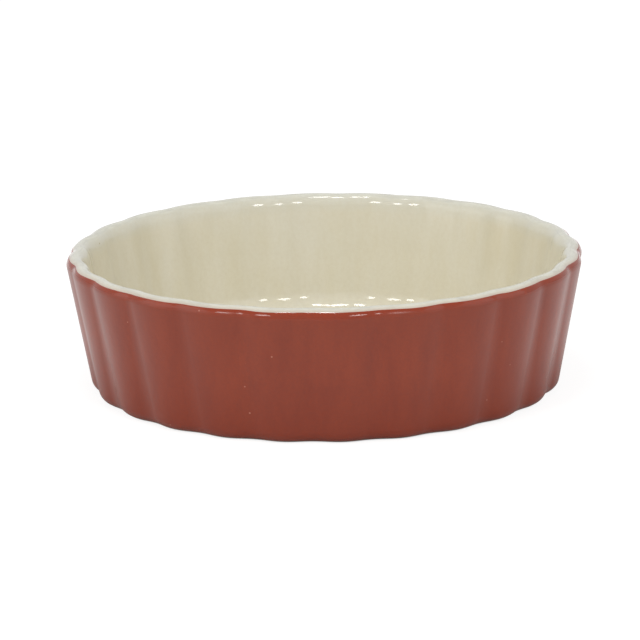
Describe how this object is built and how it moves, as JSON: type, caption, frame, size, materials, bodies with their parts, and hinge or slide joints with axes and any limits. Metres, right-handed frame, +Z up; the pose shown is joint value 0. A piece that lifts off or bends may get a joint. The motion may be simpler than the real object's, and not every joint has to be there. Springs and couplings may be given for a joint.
{
  "type": "fluted quiche dish",
  "caption": "Small round fluted quiche dish in stoneware: cream glazed inside and over the rounded rim, rust red glaze on the outside of the wall.",
  "frame": {"origin": "on the axis of the dish, in the plane of the foot ring that it stands on", "axes": "+Z up along the axis of the dish, towards its open mouth; +Y points at the crest of one flute"},
  "size_m": [0.1298, 0.1298, 0.035],
  "materials": {
    "cream_glazed_stoneware": "glossy",
    "rust_glaze": "satin"
  },
  "bodies": {
    "root": {"stoneware_body": "cream_glazed_stoneware", "wall_glaze": "rust_glaze", "base_glaze": "rust_glaze"}
  },
  "joints": []
}
